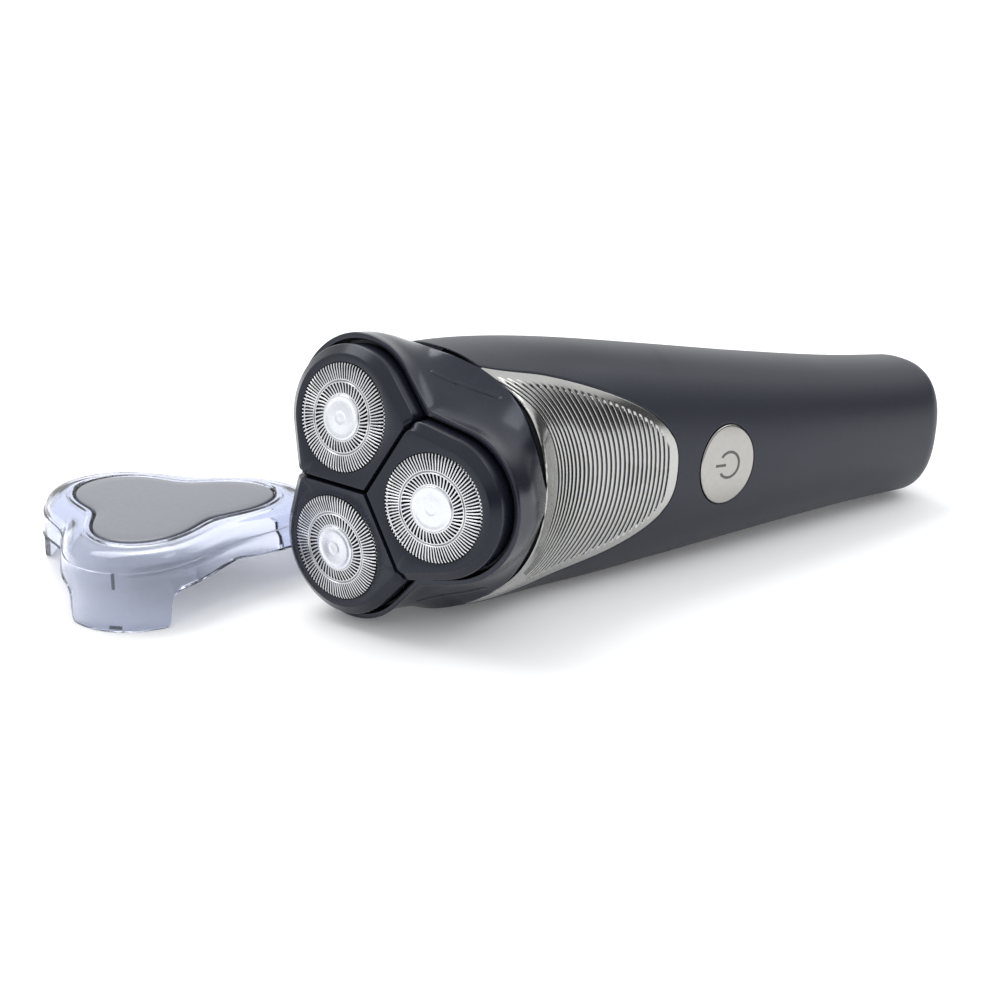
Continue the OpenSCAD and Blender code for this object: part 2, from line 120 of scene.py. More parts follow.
# handle: ends, the joint between its shells and the socket in its tail
TAIL_DEPTH = 14.4
NECK = 141.3
NECK_START = 105
NECK_LEAN = 0.5
RISE_START = 126
SPLIT_Y = 9
SHELL_GAP = 0.05
LIP = 1.8
SEAM_ROUND = 0.22
TAIL_ROUND = 6.0
SOCKET_HALF_X = 4.7
SOCKET_HALF_Y = 1.8
SOCKET_DEPTH = 3.0
SOCKET_ROUND = 0.4

# button and metal plate on the front
BUTTON_Z = 75.3
BUTTON_HALF_X = 9.1
BUTTON_HALF_Z = 7.8
BUTTON_GAP = 0.2
BUTTON_PROUD = 0.22
MARK_PROUD = 0.245
BUTTON_LOW = 64
BUTTON_HIGH = 87
PLATE_Z = 89.8
PLATE_HALF = 27.2
PLATE_LENGTH = 58
PLATE_POWER = 0.72
PLATE_GAP = 0.15
PLATE_LOW = 88.5
GROOVE_FIRST = 92.6
GROOVE_PITCH = 1.22
GROOVES = 27
GROOVE_BOW = 0.012
GROOVE_BOW_HEAD = 0.022
GROOVE_DEPTH = 0.34
GROOVE_BORDER = (1.75, 2.05)

# head: three pods in a ring, each canted outwards, and the cover round them
POD_RING = 15.8
POD_CANT = math.radians(6)
POD_R = 14.75
POD_FLAT = 12.8
POD_GAP = 0.27
TANGENT = 76.5
RIM_R = 16.4
RIM_Z = -4.7
SEAM_Z = -22
SIDE_RISE = 3.6
COVER_WALL = 1.3
COVER_ROUND = 0.4
COVER_FRONT = 28.2
COVER_BACK = 27.5
COVER_SIDE = 27.8
COVER_POWER = 2.05

# travel cap
CAP_LEG_HALF = 20.3
CAP_EDGE = [
    # degrees beyond the leg's side, height of the cap's lower edge
    (-2.6, 0), (-1.6, 0.12), (-0.8, 0.45), (-0.3, 0.95), (0, 1.6), (0.25, 3.2), (0.5, 4.8),
    (0.9, 5.8), (1.5, 6.5), (2.4, 7.0), (3.6, 7.35), (6, 7.6), (39.7, 8.9),
]


# ---------- pieces ----------

class Piece:
    """Surface grids in one local frame, which become one mesh."""

    def __init__(self, place):
        self.place = place
        self.points = []
        self.faces = []
        self.slots = []

    def grid(self, rows, wrap=False, slot=0, slot_at=None):
        """Adds a grid of quads; slot_at(i, j) may choose the material slot of each."""
        rows = np.asarray(rows, float)
        count, width = rows.shape[:2]
        start = len(self.points)
        self.points.extend(rows.reshape(-1, 3))
        last = width if wrap else width - 1
        for i in range(count - 1):
            for j in range(last):
                a = start + i * width + j
                b = start + i * width + (j + 1) % width
                self.faces.append((a, b, b + width, a + width))
                self.slots.append(slot_at(i, j) if slot_at else slot)

    def fan(self, ring, slot=0):
        """Closes a ring with one face."""
        start = len(self.points)
        self.points.extend(np.asarray(ring, float))
        self.faces.append(tuple(range(start, start + len(ring))))
        self.slots.append(slot)

    def build(self, name, body, nodes, looks, sharp=38):
        """Makes the mesh, with edges sharper than sharp degrees kept sharp."""
        mesh = bpy.data.meshes.new(name)
        place = np.array(self.place)
        points = np.array(self.points) * MM
        points = points @ place[:3, :3].T + place[:3, 3]
        mesh.from_pydata(points.tolist(), [], self.faces)
        mesh.polygons.foreach_set("material_index", self.slots)
        for look in looks:
            mesh.materials.append(look)
        work = bmesh.new()
        work.from_mesh(mesh)
        bmesh.ops.remove_doubles(work, verts=work.verts, dist=2e-6)
        bmesh.ops.dissolve_degenerate(work, edges=work.edges, dist=1e-7)
        bmesh.ops.recalc_face_normals(work, faces=work.faces)
        work.to_mesh(mesh)
        work.free()
        mesh.shade_smooth()
        mesh.set_sharp_from_angle(angle=math.radians(sharp))
        piece = bpy.data.objects.new(name, mesh)
        bpy.context.collection.objects.link(piece)
        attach(piece, body)
        if nodes:
            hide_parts(*nodes)
        return piece


def round_edge(distance, radius):
    """Depth of a rounded edge at a distance from it."""
    if distance >= radius:
        return 0.0
    return radius - math.sqrt(max(0.0, radius ** 2 - (radius - distance) ** 2))


def smoothstep(low, high, value):
    t = min(1.0, max(0.0, (value - low) / (high - low)))
    return t * t * (3 - 2 * t)


# ---------- materials ----------

def material(name, color, roughness, metallic=0.0, variation=0.12, scale=900.0, bump=0.02,
             rough_spread=0.08, **sockets):
    """Principled material whose colour, roughness and surface vary with fine noise."""
    result = bpy.data.materials.new(name)
    result.use_nodes = True
    nodes, links = result.node_tree.nodes, result.node_tree.links
    shader = nodes["Principled BSDF"]
    shader.inputs["Metallic"].default_value = metallic
    for socket, value in sockets.items():
        shader.inputs[socket.replace("_", " ")].default_value = value
    place = nodes.new("ShaderNodeTexCoord")
    noise = nodes.new("ShaderNodeTexNoise")
    noise.inputs["Scale"].default_value = scale
    noise.inputs["Detail"].default_value = 4
    links.new(place.outputs["Object"], noise.inputs["Vector"])
    ramp = nodes.new("ShaderNodeValToRGB")
    dark = [c * (1 - variation) for c in color]
    light = [min(1.0, c * (1 + variation)) for c in color]
    ramp.color_ramp.elements[0].position = 0.3
    ramp.color_ramp.elements[0].color = (*dark, 1)
    ramp.color_ramp.elements[1].position = 0.7
    ramp.color_ramp.elements[1].color = (*light, 1)
    links.new(noise.outputs["Fac"], ramp.inputs["Fac"])
    links.new(ramp.outputs["Color"], shader.inputs["Base Color"])
    smear = nodes.new("ShaderNodeTexNoise")
    smear.inputs["Scale"].default_value = 60
    smear.inputs["Detail"].default_value = 2
    links.new(place.outputs["Object"], smear.inputs["Vector"])
    spread = nodes.new("ShaderNodeMapRange")
    spread.inputs["To Min"].default_value = roughness * (1 - rough_spread)
    spread.inputs["To Max"].default_value = roughness * (1 + rough_spread)
    links.new(smear.outputs["Fac"], spread.inputs["Value"])
    links.new(spread.outputs["Result"], shader.inputs["Roughness"])
    if bump:
        relief = nodes.new("ShaderNodeBump")
        relief.inputs["Strength"].default_value = 1.0
        relief.inputs["Distance"].default_value = bump * MM
        links.new(noise.outputs["Fac"], relief.inputs["Height"])
        links.new(relief.outputs["Normal"], shader.inputs["Normal"])
    return result


body_black = material("body_black", (0.017, 0.018, 0.026), 0.42, bump=0.004, scale=2600,
                      Specular_IOR_Level=0.5, Specular_Tint=(0.86, 0.9, 1.0, 1.0))
cover_black = material("cover_black", (0.010, 0.011, 0.019), 0.2, bump=0.0,
                       Specular_Tint=(0.84, 0.89, 1.0, 1.0))
pod_black = material("pod_black", (0.009, 0.010, 0.017), 0.24, bump=0.0015, scale=2600,
                     Specular_IOR_Level=0.36, Specular_Tint=(0.84, 0.89, 1.0, 1.0))
# Near-black rough painted shade, on the wall of the recess under the head cover and on the floor of the groove
# round the cap's panel
gap_painted_shade = material("gap_painted_shade", (0.006, 0.006, 0.007), 0.7, bump=0.01)
plate_chrome = material("plate_chrome", (0.47, 0.47, 0.455), 0.16, 1.0, variation=0.03, bump=0.0)
# Darker metal on the floors of the plate's grooves, painted shade.
groove_painted_shade = material("groove_painted_shade", (0.095, 0.095, 0.10), 0.28, 1.0, variation=0.05, bump=0.0)
button_chrome = material("button_chrome", (0.40, 0.388, 0.367), 0.14, 1.0, variation=0.03,
                         bump=0.0)
mark_grey = material("mark_grey", (0.10, 0.10, 0.10), 0.5, bump=0.004)
foil_steel = material("foil_steel", (0.64, 0.65, 0.67), 0.22, 1.0, variation=0.06, bump=0.0)
foil_shade = material("foil_shade", (0.30, 0.30, 0.31), 0.30, 1.0, variation=0.06, bump=0.0)
disc_steel = material("disc_steel", (0.70, 0.715, 0.75), 0.26, 1.0, variation=0.04, bump=0.002,
                      scale=1500)
# The rotary blade's steel is darkened near-black as painted shade, so the foil's slots read dark.
blade_steel = material("blade_steel", (0.05, 0.05, 0.055), 0.4, 1.0, variation=0.1, bump=0.004)
# Near-black painted shade on the side walls of the foil's slots.
slot_painted_shade = material("slot_painted_shade", (0.015, 0.015, 0.017), 0.6, bump=0.0)
rubber_black = material("rubber_black", (0.012, 0.012, 0.012), 0.75, bump=0.02)
inner_grey = material("inner_grey", (0.10, 0.105, 0.115), 0.5, bump=0.01)
gear_white = material("gear_white", (0.78, 0.76, 0.70), 0.45, bump=0.008)
board_green = material("board_green", (0.02, 0.16, 0.06), 0.35, bump=0.01)
switch_black = material("switch_black", (0.02, 0.02, 0.022), 0.5)
led_white = material("led_white", (0.85, 0.88, 0.86), 0.25, bump=0.0)
cell_blue = material("cell_blue", (0.03, 0.12, 0.38), 0.25, bump=0.0)
nickel = material("nickel", (0.62, 0.61, 0.58), 0.25, 1.0, variation=0.05, bump=0.004)
cap_clear = material("cap_clear", (0.675, 0.71, 0.825), 0.05, variation=0.02, bump=0.0,
                     Transmission_Weight=1.0, IOR=1.46)
cap_grey = material("cap_grey", (0.15, 0.158, 0.185), 0.30, variation=0.06, bump=0.003,
                    Coat_Weight=0.2)

slot_materials = {
    "body_black": body_black, "head_gloss": cover_black, "pod_plastic": pod_black,
    "plate_chrome": plate_chrome, "button_metal": button_chrome, "foil_steel": foil_steel,
    "disc_steel": disc_steel, "blade_steel": blade_steel, "rubber_black": rubber_black,
    "inner_plastic": inner_grey, "gear_plastic": gear_white, "board_green": board_green,
    "switch_plastic": switch_black, "led_white": led_white, "cell_wrap": cell_blue,
    "nickel": nickel, "cap_smoke": cap_clear, "cap_panel": cap_grey,
}
for part in record["subparts"]:
    node_mesh = frame["nodes"][part["node"]].data
    node_mesh.materials.clear()
    node_mesh.materials.append(slot_materials[part["material_slot"]])


# ---------- handle surface ----------

def section_value(z, column):
    """Smooth value of one column of the handle sections at height z."""
    heights = SECTIONS[:, 0]
    i = int(np.clip(np.searchsorted(heights, z, side="right") - 1, 0, len(heights) - 2))
    span = heights[i + 1] - heights[i]
    t = (z - heights[i]) / span

    def slope(k):
        low, high = max(k - 1, 0), min(k + 1, len(heights) - 1)
        return (SECTIONS[high, column] - SECTIONS[low, column]) / (heights[high] - heights[low])

    return ((2 * t ** 3 - 3 * t ** 2 + 1) * SECTIONS[i, column]
            + (t ** 3 - 2 * t ** 2 + t) * span * slope(i)
            + (3 * t ** 2 - 2 * t ** 3) * SECTIONS[i + 1, column]
            + (t ** 3 - t ** 2) * span * slope(i + 1))


SECTION_STEP = 0.05


def section_table():
    """Every section value at close steps along the handle."""
    table = []
    for height in np.arange(0, NECK + 2 * SECTION_STEP, SECTION_STEP):
        values = [section_value(height, column) for column in (1, 2, 3, 4, 5)]
        lean = NECK_LEAN * max(0.0, (height - NECK_START) / (NECK - NECK_START))
        table.append((math.radians(values[0]), *values[1:], lean))
    return table


SECTION_TABLE = section_table()


def section(z):
    """Tilt in radians, half width, front, back, squareness and middle of the ring at z."""
    place = min(max(z, 0.0), NECK) / SECTION_STEP
    i = int(place)
    t = place - i
    low, high = SECTION_TABLE[i], SECTION_TABLE[i + 1]
    return [a + (b - a) * t for a, b in zip(low, high)]


def seam_rise(angle):
    """How far the joint between head and handle climbs at the sides; angle in radians."""
    turn = abs((angle + math.pi) % (2 * math.pi) - math.pi)
    return SIDE_RISE * smoothstep(0.6, 1.15, turn) * (1 - smoothstep(1.5, 2.1, turn))


def skin(z, angle, depth=0.0):
    """Point of the handle's skin on the ring at z, at an angle from the front, in radians."""
    tilt, half, front, back, power, lean = section(z)
    inward = depth + round_edge(z, TAIL_ROUND) + round_edge(NECK - z, SEAM_ROUND)
    reach = (front if math.cos(angle) > 0 else back) - inward
    r = (abs(math.cos(angle) / reach) ** power
         + abs(math.sin(angle) / (half - inward)) ** power) ** (-1 / power)
    v = -r * math.cos(angle)
    rise = seam_rise(angle) * smoothstep(RISE_START, NECK, z)
    return np.array([r * math.sin(angle),
                     lean + v * math.cos(tilt) - rise * math.sin(tilt),
                     z + v * math.sin(tilt) + rise * math.cos(tilt)])


def front_depth(ring, x):
    """Depth of the front skin at lateral x on a ring, and how far the ring's tilt lifts it."""
    tilt, half, front, _, power, _ = section(min(ring, NECK))
    v = -front * (1 - min(0.999, abs(x / half)) ** power) ** (1 / power)
    return v, v * math.sin(tilt)


def front_ring(x, z):
    """Ring and angle of the point of the front skin at lateral x and height z."""
    ring, v = z, 0.0
    for _ in range(9):
        v, lift = front_depth(ring, x)
        ring = z - lift
    return min(ring, NECK), math.atan2(x, -v)


def split_angle(z):
    """Angle at which the joint between the two shells runs."""
    tilt, half, _, back, power, lean = section(z)
    drawn = round_edge(z, TAIL_ROUND)
    v = (SPLIT_Y * (1 - drawn / TAIL_DEPTH) - lean) / math.cos(tilt)
    share = min(0.999, v / (back - drawn))
    return math.atan2((half - drawn) * (1 - share ** power) ** (1 / power), -v)


def near_edge(count):
    """Distances from a rounded edge, closest first."""
    return [SEAM_ROUND * (1 - math.cos(math.pi / 2 * i / count)) for i in range(count + 1)]


LOW_ROWS = [0, 0.08, 0.3, 0.7, 1.2, 1.9, 2.8, 4.0, 5.0, 6.0] + list(np.arange(8, 64.1, 2))
BUTTON_ROWS = list(np.linspace(BUTTON_LOW, BUTTON_HIGH, 19))
PLATE_ROWS = list(np.linspace(PLATE_LOW, 139.5, 32)) + [140.2, 140.8] + [
    NECK - d for d in reversed(near_edge(3))]
ALL_ROWS = sorted(set(np.round(LOW_ROWS + BUTTON_ROWS + PLATE_ROWS, 5)))
FRONT_COLUMNS = 72
BUTTON_COLUMN = 14
PLATE_COLUMN = 28


def front_column(z, index):
    """Angle of a column of the front shell; the outer columns crowd towards the joint."""
    edge = split_angle(z)
    reach = skin(z, edge)
    gap = SHELL_GAP / np.hypot(*reach[:2])
    share = index / (FRONT_COLUMNS / 2) - 1
    return share * (edge - gap)


def oval(angle, grow):
    """Point of the button's outline, grown outwards."""
    x = (BUTTON_HALF_X + grow) * math.sin(angle)
    return x, BUTTON_Z + (BUTTON_HALF_Z + grow) * math.cos(angle)


def edge_rows(point_at, depth, radius=SEAM_ROUND):
    """Wall and rounded edge of an opening: (offset, depth) pairs from the bottom up."""
    pairs = [(0.0, depth), (0.0, depth / 2)] + [
        (d, round_edge(d, radius)) for d in near_edge(4)]
    return [point_at(offset, sink) for offset, sink in pairs]


def blend_rows(inner, outer, steps):
    """Rows of (ring, angle) pairs from an inner to an outer line, closer at the start."""
    rows = []
    for i in range(1, steps + 1):
        t = (i / steps) ** 1.35
        rows.append([(a[0] + (b[0] - a[0]) * t, a[1] + (b[1] - a[1]) * t)
                     for a, b in zip(inner, outer)])
    return rows


def on_skin(rows):
    """Points of the skin for rows of (ring, angle) pairs."""
    return [[skin(z, angle) for z, angle in row] for row in rows]


def button_surround(piece):
    """The front shell around the button's oval opening."""
    left, right = FRONT_COLUMNS // 2 - BUTTON_COLUMN, FRONT_COLUMNS // 2 + BUTTON_COLUMN
    rows = BUTTON_ROWS
    border = ([(rows[0], c) for c in range(left, right)] + [(z, right) for z in rows[:-1]]
              + [(rows[-1], c) for c in range(right, left, -1)]
              + [(z, left) for z in reversed(rows[1:])])
    outer = [(z, front_column(z, c)) for z, c in border]
    turns = []
    for z, angle in outer:
        p = skin(z, angle)
        turns.append(math.atan2(p[0] / BUTTON_HALF_X, (p[2] - BUTTON_Z) / BUTTON_HALF_Z))

    def row(offset, sink):
        return [skin(*front_ring(*oval(t, BUTTON_GAP + offset)), sink) for t in turns]

    piece.grid(edge_rows(row, 2.0), wrap=True)
    inner = [front_ring(*oval(t, BUTTON_GAP + SEAM_ROUND)) for t in turns]
    piece.grid(on_skin([inner] + blend_rows(inner, outer, 9)), wrap=True)


def plate_edge(q, grow):
    """Point of the plate's outline, grown outwards; q runs from -1 to 1 with the tip at 0."""
    a = max(abs(q), 1e-6)
    x, z = PLATE_HALF * a ** PLATE_POWER, PLATE_Z + PLATE_LENGTH * a ** 2
    dx, dz = PLATE_HALF * PLATE_POWER * a ** (PLATE_POWER - 1), 2 * PLATE_LENGTH * a
    size = math.hypot(dx, dz)
    x, z = x + grow * dz / size, z - grow * dx / size
    return (x if q > 0 else -x), z


def plate_turn(ring, grow=0.0):
    """Where the plate's outline meets a ring of the handle."""
    low, high = 0.05, 1.0
    for _ in range(40):
        middle = (low + high) / 2
        x, z = plate_edge(middle, grow)
        if z - front_depth(ring, x)[1] < ring:
            low = middle
        else:
            high = middle
    return low


def plate_surround(piece):
    """The front shell around the metal plate, which is open towards the head."""
    left, right = FRONT_COLUMNS // 2 - PLATE_COLUMN, FRONT_COLUMNS // 2 + PLATE_COLUMN
    rows_at_head = 5
    first, last = PLATE_ROWS[0], NECK
    low = 97
    side = [low + (z - first) * (last - low) / (last - first) for z in PLATE_ROWS]
    turns = [plate_turn(ring) for ring in side]
    bottom = np.linspace(-turns[0], turns[0], right - left + 1)
    bottom = [math.copysign(abs(q) ** 1.2 * turns[0] ** -0.2, q) for q in bottom]
    line = [-q for q in reversed(turns)] + bottom[1:-1] + turns
    outer = ([(z, front_column(z, left)) for z in reversed(PLATE_ROWS)]
             + [(first, front_column(first, c)) for c in range(left + 1, right)]
             + [(z, front_column(z, right)) for z in PLATE_ROWS])

    def ring_line(grow):
        points = [front_ring(*plate_edge(q, grow)) for q in line]
        for i in range(rows_at_head):
            points[i] = (PLATE_ROWS[-1 - i], points[i][1])
            points[-1 - i] = (PLATE_ROWS[-1 - i], points[-1 - i][1])
        return points

    def row(offset, sink):
        return [skin(z, angle, sink) for z, angle in ring_line(PLATE_GAP + offset)]

    piece.grid(edge_rows(row, 1.1))
    inner = ring_line(PLATE_GAP + SEAM_ROUND)
    piece.grid(on_skin([inner] + blend_rows(inner, outer, 13)))


def socket_opening(angle, grow):
    """Round-ended slot for the charging socket."""
    half_x, half_y = SOCKET_HALF_X + grow, SOCKET_HALF_Y + grow
    c, s = math.cos(angle), math.sin(angle)
    straight = half_x - half_y
    if abs(s) > 1e-6 and abs(c) * half_y / abs(s) <= straight:
        return c * half_y / abs(s), math.copysign(half_y, s)
    r = straight * abs(c) + math.sqrt(max(0.0, half_y ** 2 - (straight * s) ** 2))
    return r * c, r * s


def tail_face(piece):
    """Flat end of the handle with the slot for the charging socket."""
    count = 96
    turns = [2 * math.pi * i / count for i in range(count)]
    rim = [skin(0, t) for t in turns]
    ways = [math.atan2(p[1], p[0]) for p in rim]
    rows = [[np.array([*socket_opening(w, 0), SOCKET_DEPTH]) for w in ways]]
    rows += [[np.array([*socket_opening(w, d), round_edge(d, SOCKET_ROUND)]) for w in ways]
             for d in (0, 0.03, 0.12, 0.25, SOCKET_ROUND)]
    start = rows[-1]
    for t in (0.33, 0.66, 1.0):
        rows.append([a + (b - a) * t for a, b in zip(start, rim)])
    piece.grid(rows, wrap=True)


def joint_edge(piece, side_angle):
    """Wall of a shell along the joint; side_angle gives the shell's last column."""
    for side in (-1, 1):
        piece.grid([[skin(z, side * side_angle(z), sink) for z in ALL_ROWS]
                    for sink in (0, 0.08, 0.25, 1.2)])


def handle_front():
    """Front shell: skin with openings for the button and the plate, edges, and the plate's bed."""
    piece = Piece(HANDLE)
    middle = FRONT_COLUMNS // 2
    whole = [(0, FRONT_COLUMNS)]
    beside_button = [(0, middle - BUTTON_COLUMN), (middle + BUTTON_COLUMN, FRONT_COLUMNS)]
    beside_plate = [(0, middle - PLATE_COLUMN), (middle + PLATE_COLUMN, FRONT_COLUMNS)]
    bands = [(0, BUTTON_LOW, whole), (BUTTON_LOW, BUTTON_HIGH, beside_button),
             (BUTTON_HIGH, PLATE_LOW, whole), (PLATE_LOW, NECK, beside_plate)]
    for bottom, top, spans in bands:
        rows = [z for z in ALL_ROWS if bottom - 0.001 <= z <= top + 0.001]
        for low, high in spans:
            piece.grid([[skin(z, front_column(z, c)) for c in range(low, high + 1)]
                        for z in rows])
    button_surround(piece)
    plate_surround(piece)
    tail_face(piece)
    joint_edge(piece, lambda z: front_column(z, FRONT_COLUMNS))
    lip, under, inside = [
        [skin(NECK, front_column(NECK, c), sink) for c in range(FRONT_COLUMNS + 1)]
        for sink in (0, 1.0, LIP)]
    for low, high in beside_plate:
        piece.grid([lip[low:high + 1], inside[low:high + 1]])
    piece.grid([under, inside])
    under_plate = range(middle - PLATE_COLUMN, middle + PLATE_COLUMN + 1)
    piece.grid([[skin(z, front_column(z, c), 1.05) for c in under_plate] for z in PLATE_ROWS])
    return piece.build("handle_front", "handle", ["handle_front_shell"],
                       [body_black])


def handle_rear():
    """Rear shell: skin from joint to joint round the back, its edges and its lip."""
    piece = Piece(HANDLE)
    columns = 48

    def column(z, c):
        edge = split_angle(z)
        gap = SHELL_GAP / np.hypot(*skin(z, edge)[:2])
        return edge + gap + c / columns * 2 * (math.pi - edge - gap)

    piece.grid([[skin(z, column(z, c)) for c in range(columns + 1)] for z in ALL_ROWS])
    joint_edge(piece, lambda z: column(z, 0))
    piece.grid([[skin(NECK, column(NECK, c), d) for c in range(columns + 1)] for d in (0, LIP)])
    return piece.build("handle_rear", "handle", ["handle_rear_shell"],
                       [body_black])


# ---------- metal plate and button ----------

def grille_plate():
    """Polished plate with fine grooves across it and a plain border; the groove floors carry darker metal as
    painted shade.
    """
    piece = Piece(HANDLE)
    outline = np.array([plate_edge(q, 0) for q in np.linspace(-1, 1, 900)])
    profile = [(-0.5, -0.03), (-0.36, -0.01), (-0.27, 0.02), (-0.24, 0.10), (-0.18, 0.30),
               (0.0, GROOVE_DEPTH), (0.18, 0.30), (0.24, 0.10), (0.27, 0.02), (0.36, -0.01)]
    rows = [(PLATE_Z + d, 0.0) for d in (0.0, 0.01, 0.03, 0.07, 0.13, 0.2, 0.3, 0.5, 0.8, 1.1)]
    rows += [(GROOVE_FIRST + GROOVE_PITCH * (i + share), depth)
             for i in range(GROOVES) for share, depth in profile]
    end = GROOVE_FIRST + GROOVE_PITCH * (GROOVES - 0.5)
    rows += [(end + d, 0.0) for d in np.arange(0.05, 16, 0.5)]
    shares = np.sin(np.linspace(-math.pi / 2, math.pi / 2, 71))
    surface, cuts = [], []
    for z0, groove in sorted(rows):
        line, cut = [], []
        bow = GROOVE_BOW + (GROOVE_BOW_HEAD - GROOVE_BOW) * smoothstep(95, 125, z0)
        for share in shares:
            z = z0
            for _ in range(3):
                along_plate = max(0.0, (z - PLATE_Z) / PLATE_LENGTH)
                x = share * PLATE_HALF * along_plate ** (PLATE_POWER / 2)
                z = max(z0, PLATE_Z) + bow * x * x
            edge = float(np.min(np.hypot(outline[:, 0] - x, outline[:, 1] - z)))
            if abs(share) > 0.9999:
                edge = 0.0
            ring, angle = front_ring(x, z)
            cut.append(groove * smoothstep(*GROOVE_BORDER, edge))
            line.append(skin(ring, angle, round_edge(edge, 0.2) + cut[-1]))
        surface.append(line)
        cuts.append(cut)

    # Faces deep in a groove take the second slot, darker metal painted as shade.
    def groove_shade_slot(i, j):
        return int(min(cuts[i][j], cuts[i + 1][j], cuts[i][j + 1], cuts[i + 1][j + 1]) > 0.05)

    piece.grid(surface, slot_at=groove_shade_slot)
    for column in (0, -1):
        rim = [row[column] for row in surface]
        piece.grid([rim, [p + np.array([0, 0.7, 0]) for p in rim]])
    last = surface[-1]
    piece.grid([last, [p + np.array([0, 0.75, 0.2]) for p in last]])
    return piece.build("grille_plate_grooved", "handle", ["grille_plate"],
                       [plate_chrome, groove_painted_shade], sharp=50)


def front_disc(piece, shares, depth_at, turns=96):
    """Oval cap over the front skin; shares run from the middle to the edge."""
    rows = []
    for share in shares:
        row = []
        for i in range(turns):
            angle = 2 * math.pi * i / turns
            x = BUTTON_HALF_X * share * math.sin(angle)
            z = BUTTON_Z + BUTTON_HALF_Z * share * math.cos(angle)
            row.append(skin(*front_ring(x, z), depth_at(share)))
        rows.append(row)
    piece.grid(rows, wrap=True)
    return rows[-1]


def power_button():
    """Oval metal button that follows the front skin, with a rounded edge."""
    piece = Piece(HANDLE)

    def depth_at(share):
        return round_edge((1 - share) * BUTTON_HALF_Z, 0.35) - BUTTON_PROUD

    shares = [0.002] + list(np.linspace(0.06, 0.94, 14)) + [0.956, 0.97, 0.98, 0.99, 0.996, 1.0]
    rim = front_disc(piece, shares, depth_at)
    piece.grid([rim, [p + np.array([0, 1.6, 0]) for p in rim]], wrap=True)
    return piece.build("power_button_cap", "power_button", ["power_button"],
                       [button_chrome])


def power_mark():
    """Generic standby mark: an open ring and a bar, a hair above the button."""
    piece = Piece(HANDLE)
    radius, width, foot, bar = 2.9, 0.62, 0.6, 2.9375
    gap = math.radians(38)

    def lift(x, z):
        return skin(*front_ring(x, z), -MARK_PROUD)

    ring = []
    for r in np.linspace(radius - width / 2, radius + width / 2, 3):
        ring.append([lift(r * math.sin(a), BUTTON_Z - 0.35 + r * math.cos(a))
                     for a in np.linspace(gap, 2 * math.pi - gap, 60)])
    piece.grid(ring)
    heights = np.linspace(BUTTON_Z + foot, BUTTON_Z + foot + bar, 8)
    piece.grid([[lift(x, z) for z in heights] for x in (-width / 2, 0, width / 2)])
    return piece.build("power_mark", "power_button", [], [mark_grey])


# ---------- head cover ----------

def lobe_edge(angle, r):
    """Plan of the three lobes about the head axis; angles in degrees."""
    e = abs((angle + 420) % 120 - 60)
    turn = math.degrees(math.atan2(r * math.sin(math.radians(TANGENT)),
                                   POD_RING + r * math.cos(math.radians(TANGENT))))
    if e < turn:
        return (POD_RING * math.cos(math.radians(e))
                + math.sqrt(r ** 2 - (POD_RING * math.sin(math.radians(e))) ** 2))
    return ((r + POD_RING * math.cos(math.radians(TANGENT)))
            / math.cos(math.radians(e - TANGENT)))


def cover_lift(angle):
    """How far the cover's lower edge stands clear of the handle: crescents beside a bridge."""
    a = abs((angle + 180) % 360 - 180)
    lift = 0.0
    for low, high, most in ((4, 50, 2.0), (64, 104, 2.6)):
        if low < a < high:
            lift = most * math.sin(math.pi * (a - low) / (high - low)) ** 0.8
    return lift


def cover_point(angle, t, inward=0.0):
    """Point of the cover at t from its upper edge (0) to its lower edge (1)."""
    sharp = lobe_edge(angle, RIM_R)
    wave = math.cos(math.radians(3 * angle))
    smooth = 26.9 + 5.3 * wave + 0.5 * math.sin(math.pi * t)
    soften = smoothstep(0, 0.42, t)
    lobe = sharp * (1 - soften) + smooth * soften
    c, s = math.cos(math.radians(angle)), math.sin(math.radians(angle))
    reach = COVER_FRONT if c > 0 else COVER_BACK
    foot = (abs(c / reach) ** COVER_POWER + abs(s / COVER_SIDE) ** COVER_POWER
            ) ** (-1 / COVER_POWER)
    w = t ** 1.8
    r = lobe * (1 - w) + foot * w - inward
    e = math.radians(abs((angle + 420) % 120 - 60))
    top = RIM_Z - (sharp * math.cos(e) - POD_RING) * math.tan(POD_CANT)
    low = SEAM_Z + 0.2 + cover_lift(angle) + seam_rise(math.radians(angle))
    return np.array([r * s, -r * c, top + (low - top) * t])


def head_cover():
    """Glossy collar from the lobed upper edge to the round lower one, with a recess below whose wall is painted
    near-black as shade.
    """
    piece = Piece(HEAD)
    turns = [2.0 * i for i in range(180)]
    rows = [[cover_point(a, t, COVER_WALL + 0.35) for a in turns] for t in (0.75, 0.5, 0.25, 0.1)]
    rows.append([cover_point(a, 0.03, COVER_WALL) for a in turns])
    rows.append([cover_point(a, 0, COVER_WALL) + np.array([0, 0, -0.15]) for a in turns])
    rows.append([cover_point(a, 0, COVER_WALL - 0.15) for a in turns])
    for degrees in (90, 72, 54, 36, 18, 0):
        inward = COVER_ROUND * (1 - math.cos(math.radians(degrees)))
        drop = COVER_ROUND * (1 - math.sin(math.radians(degrees)))
        rows.append([cover_point(a, 0, inward) + np.array([0, 0, -drop]) for a in turns])
    for t in np.linspace(0.05, 0.985, 34):
        rows.append([cover_point(a, t) for a in turns])
    for inward, t in ((0.04, 0.993), (0.14, 0.998), (0.3, 1.0), (1.1, 1.0)):
        rows.append([cover_point(a, t, inward) for a in turns])

    def below(a, inward, z):
        p = cover_point(a, 1.0, inward)
        return np.array([p[0], p[1], z + seam_rise(math.radians(a))])

    piece.grid(rows, wrap=True)
    # The recess wall under the cover takes the second slot, painted near-black as shade.
    piece.grid([rows[-1], [cover_point(a, 1.0, 1.7) for a in turns],
                [below(a, 1.7, SEAM_Z + 0.1) for a in turns]], wrap=True, slot=1)
    return piece.build("head_cover_shell", "shaving_unit", ["head_cover"],
                       [cover_black, gap_painted_shade], sharp=45)


